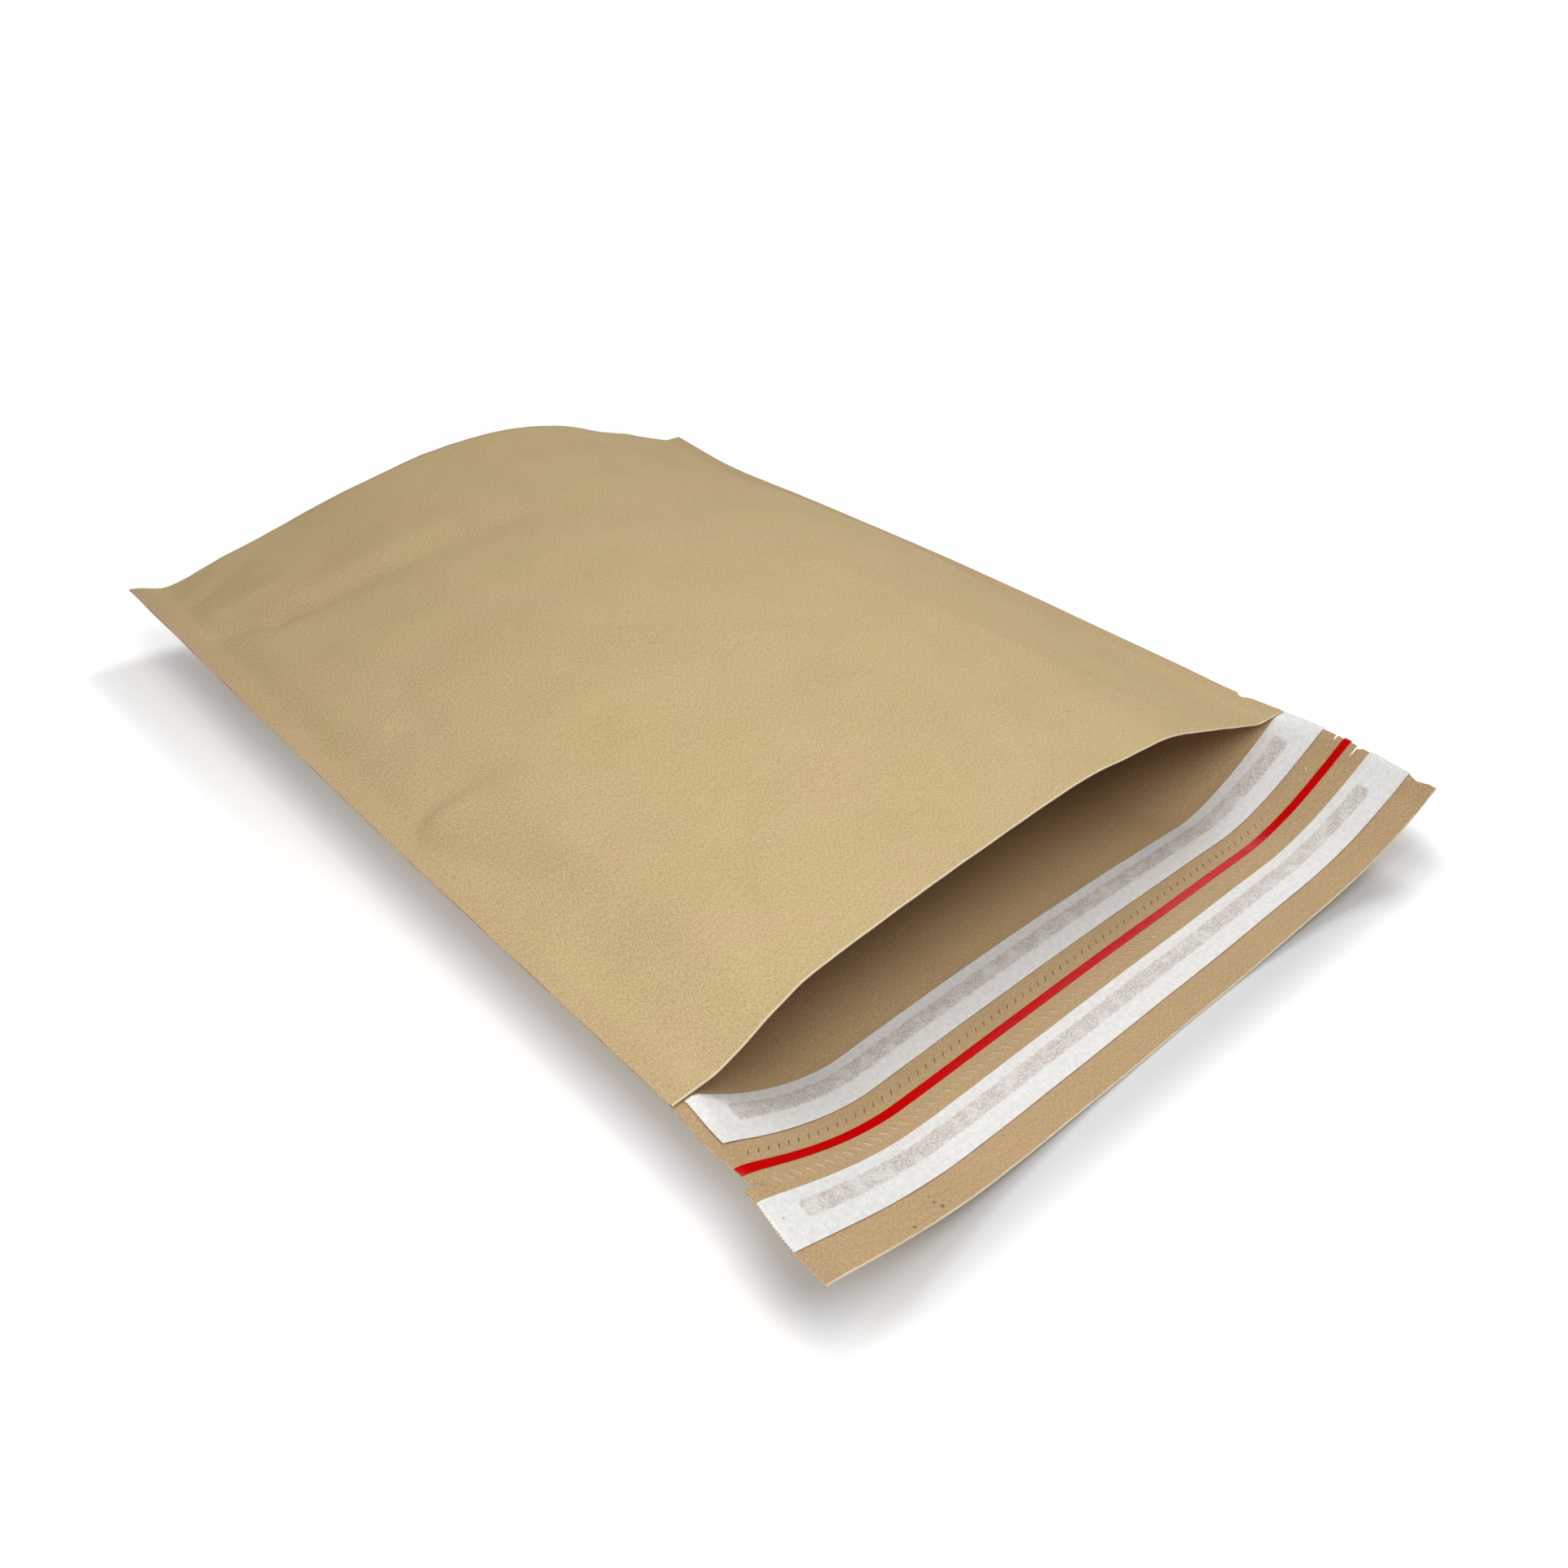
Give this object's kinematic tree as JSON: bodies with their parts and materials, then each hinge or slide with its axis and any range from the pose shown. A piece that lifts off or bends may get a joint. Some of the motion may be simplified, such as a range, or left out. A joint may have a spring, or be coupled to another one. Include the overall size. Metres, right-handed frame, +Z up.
{
  "type": "paper mailing bag",
  "caption": "Open kraft paper mailing bag, puffed into a pillow, lying on its back with a peel-and-seal flap: release liners over glue strips and a red tear tape between them.",
  "frame": {"origin": "middle of the outline, on the table that the bag lies on", "axes": "+Z up, +Y towards the bottom fold, so the mouth and flap point to -Y; +X to the right seen from the flap"},
  "size_m": [0.3567, 0.5112, 0.0851],
  "materials": {
    "kraft_paper": "matt unbleached kraft",
    "release_liner": "smooth white siliconed paper",
    "seal_glue": "tacky hot-melt glue",
    "tear_tape": "glossy red film"
  },
  "bodies": {
    "root": {"kraft_bag": "kraft_paper", "inner_release_liner": "release_liner", "outer_release_liner": "release_liner", "inner_glue_strip": "seal_glue", "outer_glue_strip": "seal_glue", "tear_tape": "tear_tape"}
  },
  "joints": []
}
